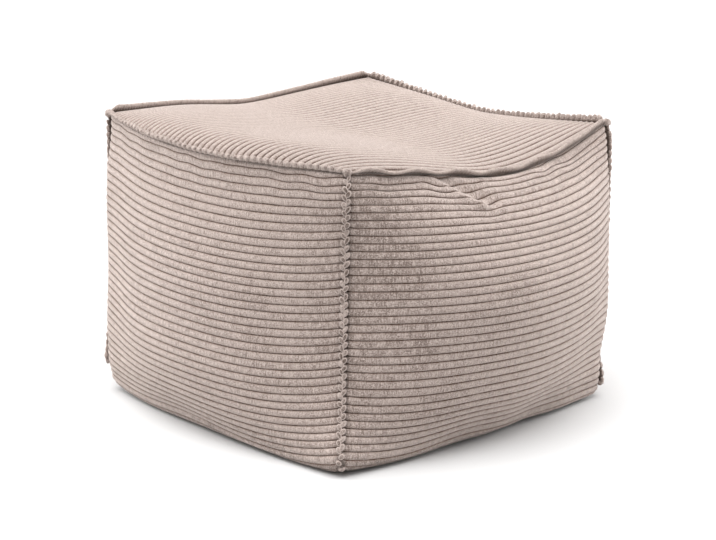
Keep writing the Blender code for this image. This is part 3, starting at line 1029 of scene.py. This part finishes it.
def add_pillows(pile, thread, frames, side, share, random):
    """One squeezed wale end, with its loop, at each frame, on the side -1 or 1 of the seam."""
    count = len(frames.point)
    tilt = np.radians(PILLOW_TILT + random.uniform(-PILLOW_TURN, PILLOW_TURN, count))[:, None]
    uneven = random.uniform(1 - PILLOW_UNEVEN, 1 + PILLOW_UNEVEN, (count, 3))
    size = np.array([PILLOW_LENGTH, PILLOW_WIDE, PILLOW_TALL]) * uneven * share[:, None]
    first = np.cos(tilt) * frames.along + side * np.sin(tilt) * frames.across
    second = np.cross(frames.outward, first)
    shift = side * PILLOW_OFFSET + random.uniform(-1, 1, count) * PILLOW_SHIFT
    centre = frames.point + shift[:, None] * frames.across
    centre = centre + PILLOW_OUT * share[:, None] * frames.outward
    for k in range(count):
        axes = np.stack([first[k], second[k], frames.outward[k]]) * size[k][:, None]
        points = centre[k] + BALL_POINTS @ axes
        # The inner half of each pillow lies in the edge's painted root shade.
        out = 0.5 + 0.5 * BALL_POINTS[:, 2]
        shade = np.full(len(out), random.uniform(0.0, PILLOW_SHADE))
        cloth = np.stack([BALL_POINTS[:, 0] * PILLOW_LENGTH, shade, out], -1)
        pile.add(points, BALL_FACES, cloth)
    turn = np.linspace(0, 2 * math.pi, LOOP_STEPS)[:, None]
    reach = LOOP_SHARE * size
    loops = centre[:, None] + np.cos(turn) * (reach[:, :1] * first)[:, None]
    loops = loops + np.sin(turn) * (reach[:, 1:2] * second)[:, None]
    loops = loops + (LOOP_OUT * size[:, 2:] * frames.outward)[:, None]
    add_threads(thread, loops, frames.outward[:, None], LOOP_RADIUS, random)


def add_knot(pile, place, size, random):
    """A lump of gathered cloth where seams meet."""
    ripples = np.sin(KNOT_RIPPLES * BALL_POINTS + random.uniform(0, 6, 3))
    lumps = 1 + KNOT_LUMPS * ripples.sum(1)
    # The knot's inner side reaches into the edge's painted root shade.
    out = 0.6 + 0.3 * BALL_POINTS[:, 2]
    cloth = np.stack([BALL_POINTS[:, 0] * size, np.full(len(out), KNOT_SHADE), out], -1)
    pile.add(place + size * lumps[:, None] * BALL_POINTS, BALL_FACES, cloth)


print("a loop of thread has", LOOP_STEPS, "steps")

# %% [markdown]
# The cut edges are the same cotton as the panels. Their roots are painted nearly black, as shade deep
# in the seam, and only the outermost pile is as pale as the panels. The overlock thread is a twisted
# cotton, about as pale as the pile: a slanting wave over each tube draws its twist.

# %% Sewn edge finishes
EDGE_PILE = (0.520, 0.432, 0.392, 1.0)
# The dark edge colour is painted shade in the gaps between pillows and teeth, and the pillows' random
# darker tone.
EDGE_DARK = (0.120, 0.086, 0.071, 1.0)
# Painted shade deep in the seam, at the root of each edge.
EDGE_ROOT_SHADE = (0.085, 0.058, 0.046, 1.0)
ROLL_PILE = (0.480, 0.394, 0.354, 1.0)
ROLL_DARK = (0.110, 0.076, 0.061, 1.0)
# Where the root's painted shade fades out; on the turned edges it covers most of the outer face.
EDGE_ROOT_SHADE_SPAN = (0.05, 0.55)
ROLL_ROOT_SHADE_SPAN = (0.30, 0.92)
EDGE_SPECKLE = Grain(1.0, 1.0, 900.0, 2.0, 0.6)
EDGE_MOTTLE = Grain(1.0, 1.0, 220.0, 2.0, 0.6)
EDGE_BUMP = 0.0012
THREAD_PALE = (0.500, 0.415, 0.375, 1.0)
THREAD_SHADE = (0.270, 0.212, 0.186, 1.0)
THREAD_TWIST = 75.0
THREAD_FUZZ = Grain(1.0, 1.0, 1100.0, 2.0, 0.6)
THREAD_BUMP = 0.0003


def edge_finish(name, pale, dark, root_shade_span):
    """Pile painted nearly black with shade at its root, fading to its own colour between two shares of
    the way out.
    """
    finish = Finish(name)
    run = finish.node("SeparateXYZ", {}, {0: finish.attribute("cloth", 1)})
    place = finish.node("TexCoord", {}, {}, output=3)
    speckle = finish.noise(place, EDGE_SPECKLE)
    mottle = finish.noise(place, EDGE_MOTTLE)
    shade = finish.between(mottle, 0.36, 0.70) * 0.4 + (speckle - 0.5) * 1.6
    # Painted shade in the gaps, added to the mottled tone of the pile.
    pile = finish.mix(shade + run.output(1), pale, dark)
    # Painted shade at the root of the edge.
    root = 1 - finish.between(run.output(2), *root_shade_span)
    finish.feed("Base Color", finish.mix(root, pile, EDGE_ROOT_SHADE))
    finish.set(Roughness=0.92, Sheen_Weight=0.35, Sheen_Roughness=0.45)
    finish.set(Sheen_Tint=(1.0, 0.93, 0.88, 1.0), Specular_IOR_Level=0.12)
    finish.feed("Normal", finish.bump(speckle + mottle, EDGE_BUMP))
    print(name + ":", len(finish.tree.nodes), "nodes")
    return finish.material


def thread_finish():
    """Twisted cotton: slanting bands that run on along each thread."""
    finish = Finish("overlock_thread")
    settings = {"wave_type": "BANDS", "bands_direction": "DIAGONAL"}
    sockets = {"Vector": finish.attribute("cloth", 1), "Scale": THREAD_TWIST}
    twist = finish.node("TexWave", settings, sockets, output=1)
    fuzz = finish.noise(finish.node("TexCoord", {}, {}, output=3), THREAD_FUZZ)
    shade = twist * 0.35 + (fuzz - 0.5) * 1.2
    finish.feed("Base Color", finish.mix(shade, THREAD_PALE, THREAD_SHADE))
    finish.set(Roughness=0.8, Sheen_Weight=0.2, Specular_IOR_Level=0.25)
    finish.feed("Normal", finish.bump(twist + fuzz, THREAD_BUMP, 0.8))
    print("overlock thread:", len(finish.tree.nodes), "nodes")
    return finish.material


EDGE = edge_finish("sewn_edge", EDGE_PILE, EDGE_DARK, EDGE_ROOT_SHADE_SPAN)
ROLL = edge_finish("turned_edge", ROLL_PILE, ROLL_DARK, ROLL_ROOT_SHADE_SPAN)
THREAD = thread_finish()

# %% [markdown]
# An upright seam takes one pillow from each wale of its two panels. The panels' first grooves lie at
# different heights, so the two columns of pillows are staggered without being told to. Both ends of
# the seam finish in a knot, where the seam allowances of three panels are stitched together.

# %% Corner seams
SEAM_STEPS = 145
SEAM_LENGTH = 0.33
TOP_KNOT = 0.0050
LOW_KNOT = 0.0038
KNOT_OUT = 0.002
LOW_TAPER = 40
TOP_TAPER = 9
TOP_SHARE = 0.45
END_SHARE = 0.35
LAST_PLACE = 0.995
CORNER_SEED = 20


def corner_seam(name, seed):
    random = np.random.default_rng(seed)
    raised = CORNERS[name].raised_from
    v = np.linspace(raised, 1.0, SEAM_STEPS)
    frames = corner_frames(name, v)
    from_ends = np.minimum((v - raised) * LOW_TAPER, (1 - v) * TOP_TAPER)
    ends = np.minimum(1.0, END_SHARE + from_ends) * MM
    pile = Solids()
    thread = Solids()
    rings = put_section(frames, BAND_SECTION, ends, ends)
    # The band is painted dark all along, as painted shade in the gaps between the pillows.
    pile.loft(rings, section_cloth(v * SEAM_LENGTH, BAND_SECTION, np.ones(len(v))))
    for panel, side in zip(sides_at(name), (-1, 1)):
        crest = (-SIDES[panel].first_groove % 1) + CREST
        places = (np.arange(-2, SIDE_WALES) + crest) / SIDE_WALES
        places = places[(places > raised) & (places < LAST_PLACE)]
        share = np.minimum(1.0, TOP_SHARE + (1 - places) * TOP_TAPER)
        add_pillows(pile, thread, corner_frames(name, places), side, share, random)
    top = corner_frames(name, np.array([1.0]))
    low = corner_frames(name, np.array([raised]))
    add_knot(pile, top.point[0] + KNOT_OUT * top.outward[0], TOP_KNOT, random)
    add_knot(pile, low.point[0] + KNOT_OUT * low.outward[0], LOW_KNOT, random)
    sewn = pile.object("corner_seam_" + name + "_sewn", EDGE)
    return sewn, thread.object("corner_thread_" + name, THREAD)


seams = {}
threads = []
for seed, name in enumerate(CORNERS):
    seams["corner_seam_" + name], thread = corner_seam(name, CORNER_SEED + seed)
    threads.append(thread)

# %% [markdown]
# A top seam is a standing edge of two cloth layers, about nine millimetres high. Where the top's
# wales end in it, they swell it into teeth. On the right front it lies over near the front corner
# and rises towards the right one, on the left front it leans out, and at the back it stands up. The
# overlock thread goes over it in slanting stitches.

# %% Top seams
EDGE_SECTION = (
    (-0.5, -0.30), (0.5, -0.30), (0.8, 0.10), (1.0, 0.40), (1.0, 0.70), (0.75, 0.92),
    (0.3, 1.0), (-0.3, 1.0), (-0.75, 0.92), (-1.0, 0.70), (-1.0, 0.40), (-0.8, 0.10),
)
STITCH_PATH = (
    (1.06, 0.42), (1.08, 0.70), (0.84, 0.94), (0.0, 1.04),
    (-0.84, 0.94), (-1.08, 0.70), (-1.06, 0.42),
)
TopSeam = namedtuple("TopSeam", "height half_thick start_degrees end_degrees flop toothed stitch")
TOP_SEAMS = {
    "left_front": TopSeam(0.0084, 0.0024, 52.0, 44.0, 12.0, 0.62, 0.00060),
    "right_front": TopSeam(0.0092, 0.0018, 20.0, 84.0, 22.0, 0.0, 0.00020),
    "right_back": TopSeam(0.0092, 0.0032, 80.0, 80.0, 5.0, 1.0, 0.00045),
    "left_back": TopSeam(0.0104, 0.0024, 100.0, 95.0, 5.0, 0.0, 0.00020),
}
TOP_SEAM_END = 0.996
RINGS_A_WALE = 8
STITCHES_A_WALE = 2
TOOTH_THICK = 0.74
TOOTH_HIGH = 0.52
SEAM_BUMPS = 0.10
SMOOTH_BUMPS = 0.025
FLOP_PACE = (4.0, 22.0)
BUMP_PACE = (150.0, 400.0)
EDGE_TAPER = 14
EDGE_END_SHARE = 0.45
TOP_SEAM_SEED = 30


def top_edge(name, u, seed):
    """Frames, the two sizes of a top seam's standing edge, and the painted shade of the gaps between
    its teeth.
    """
    seam = TOP_SEAMS[name]
    degrees = np.interp(u, (-1.0, 1.0), (seam.start_degrees, seam.end_degrees))
    degrees = degrees + seam.flop * waves_along(u, seed, FLOP_PACE)
    tooth = 1 - np.abs(np.cos(math.pi * TOP_WALES * 0.5 * (1 + u)))
    ends = np.minimum(1.0, EDGE_END_SHARE + (TOP_SEAM_END - np.abs(u)) * EDGE_TAPER)
    bumps = SEAM_BUMPS if seam.toothed else SMOOTH_BUMPS
    uneven = 1 + bumps * waves_along(u, seed + 1, BUMP_PACE)
    thick = seam.half_thick * ends * uneven * (1 - seam.toothed * TOOTH_THICK * tooth)
    high = seam.height * ends * uneven * (1 - seam.toothed * TOOTH_HIGH * tooth)
    return top_frames(name, u, degrees), thick, high, seam.toothed * tooth


def top_seam(name, seed):
    random = np.random.default_rng(seed)
    u = np.linspace(-TOP_SEAM_END, TOP_SEAM_END, TOP_WALES * RINGS_A_WALE + 1)
    frames, thick, high, gap = top_edge(name, u, seed)
    pile = Solids()
    rings = put_section(frames, EDGE_SECTION, thick, high)
    # The gaps between the teeth carry painted shade.
    pile.loft(rings, section_cloth(u * HALF_WIDTH, EDGE_SECTION, gap))
    finish = EDGE if TOP_SEAMS[name].toothed else ROLL
    sewn = pile.object("top_seam_" + name + "_sewn", finish)
    stitches = TOP_WALES * STITCHES_A_WALE
    places = TOP_SEAM_END * (2 * (np.arange(stitches) + 0.5) / stitches - 1)
    slant = np.linspace(-0.5, 0.5, len(STITCH_PATH)) * 2 / stitches
    u = np.clip(places[:, None] + slant, -TOP_SEAM_END, TOP_SEAM_END).ravel()
    frames, thick, high = top_edge(name, u, seed)[:3]
    across, out = np.tile(np.array(STITCH_PATH), (stitches, 1)).T
    paths = frames.point + (thick * across)[:, None] * frames.across
    paths = (paths + (high * out)[:, None] * frames.outward).reshape(stitches, -1, 3)
    thread = Solids()
    add_threads(thread, paths, frames.along.reshape(paths.shape), TOP_SEAMS[name].stitch, random)
    return sewn, thread.object("top_thread_" + name, THREAD)


for seed, name in enumerate(SIDES):
    seams["top_seam_" + name], thread = top_seam(name, TOP_SEAM_SEED + seed)
    threads.append(thread)

# %% [markdown]
# ## Camera and studio
#
# The photograph's wales and seams fix the camera: it stands three metres away, a little above, and
# looks at the near corner.

# %% Camera
VIEW_AZIMUTH = 48.0
VIEW_PITCH = 15.27
VIEW_DISTANCE = 3.10
VIEW_HEIGHT = 0.1574
FOCAL_PIXELS = 2545
IMAGE_WIDTH = 716
AXIS_PIXEL = 356.2
SENSOR_MM = 36.0


def photo_camera():
    data = bpy.data.cameras.new("photo_camera")
    data.sensor_width = SENSOR_MM
    data.lens = FOCAL_PIXELS / IMAGE_WIDTH * data.sensor_width
    data.shift_x = (0.5 * IMAGE_WIDTH - AXIS_PIXEL) / IMAGE_WIDTH
    camera = placed("photo_camera", data)
    azimuth = math.radians(VIEW_AZIMUTH)
    pitch = math.radians(VIEW_PITCH)
    flat = np.array([math.cos(azimuth), math.sin(azimuth), 0.0]) * math.cos(pitch)
    look = flat - np.array([0.0, 0.0, math.sin(pitch)])
    target = np.array([0.0, 0.0, VIEW_HEIGHT]) - MIDDLE
    camera.location = target - VIEW_DISTANCE * look
    camera.rotation_euler = (0.5 * math.pi - pitch, 0.0, azimuth - 0.5 * math.pi)
    bpy.context.scene.camera = camera
    print("lens", round(data.lens, 1), "mm, camera at", [round(x, 3) for x in camera.location])


photo_camera()

# %% [markdown]
# The studio is a pale floor, a broad soft light overhead and a pale sky. The top of the pouf is its
# brightest face and the floor burns out to white. Two soft lamps behind the left and right corners
# brighten the cloth towards the outline, where it is pale in the photograph.

# %% Studio
FLOOR_SIZE = 60.0
FLOOR_COLOR = (0.62, 0.62, 0.62, 1.0)
SKY_STRENGTH = 0.375
SUN_STRENGTH = 4.4
SUN_ANGLE = 60.0
SUN_TILT = (5.0, -12.0)
RIM_POWER = 48.0
RIM_SIZE = 1.4
RIM_REACH = 2.2
RIM_HEIGHT = 0.8
RIM_DEGREES = 108.0


def softbox(name, place, size, power):
    """A square soft light at a place, turned to the pouf."""
    light = bpy.data.lights.new(name, "AREA")
    light.energy = power
    light.size = size
    lamp = placed(name, light)
    lamp.location = place
    lamp.rotation_euler = (-Vector(place)).to_track_quat("-Z", "Y").to_euler()


def studio():
    scene = bpy.context.scene
    scene.view_settings.view_transform = "Standard"
    world = bpy.data.worlds.new("pale_sky")
    world.use_nodes = True
    scene.world = world
    sky = world.node_tree.nodes["Background"]
    sky.inputs["Color"].default_value = (1.0, 1.0, 1.0, 1.0)
    sky.inputs["Strength"].default_value = SKY_STRENGTH
    bpy.ops.mesh.primitive_plane_add(size=FLOOR_SIZE)
    floor = bpy.context.active_object
    floor.name = "floor"
    paint = Finish("pale_floor")
    paint.set(Base_Color=FLOOR_COLOR, Roughness=0.9, Specular_IOR_Level=0.1)
    floor.data.materials.append(paint.material)
    sun = bpy.data.lights.new("overhead_soft_light", "SUN")
    sun.energy = SUN_STRENGTH
    sun.angle = math.radians(SUN_ANGLE)
    overhead = placed("overhead_soft_light", sun)
    overhead.rotation_euler = [math.radians(angle) for angle in SUN_TILT] + [0.0]
    for name, turn in (("left_rim_light", -RIM_DEGREES), ("right_rim_light", RIM_DEGREES)):
        azimuth = math.radians(VIEW_AZIMUTH + 180.0 + turn)
        place = (RIM_REACH * math.cos(azimuth), RIM_REACH * math.sin(azimuth), RIM_HEIGHT)
        softbox(name, place, RIM_SIZE, RIM_POWER)
    print("lights:", [obj.name for obj in scene.objects if obj.type == "LIGHT"])


studio()

# %% [markdown]
# ## Pieces
#
# The pouf is one soft thing on one body, so every piece rides on the root. The six panels stand for
# the one filled solid of the frame, whose bead filling gives way, but not down to nothing.
# Each sewn edge stands for its own solid. The threads are new pieces beside them.

# %% Put the pieces in the frame
for panel in panels:
    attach(panel, "root")
    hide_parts("cushion_body")

for node, seam in seams.items():
    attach(seam, "root")
    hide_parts(node)

for thread in threads:
    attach(thread, "root")
print("riding:", len(panels) + len(seams) + len(threads), "pieces")
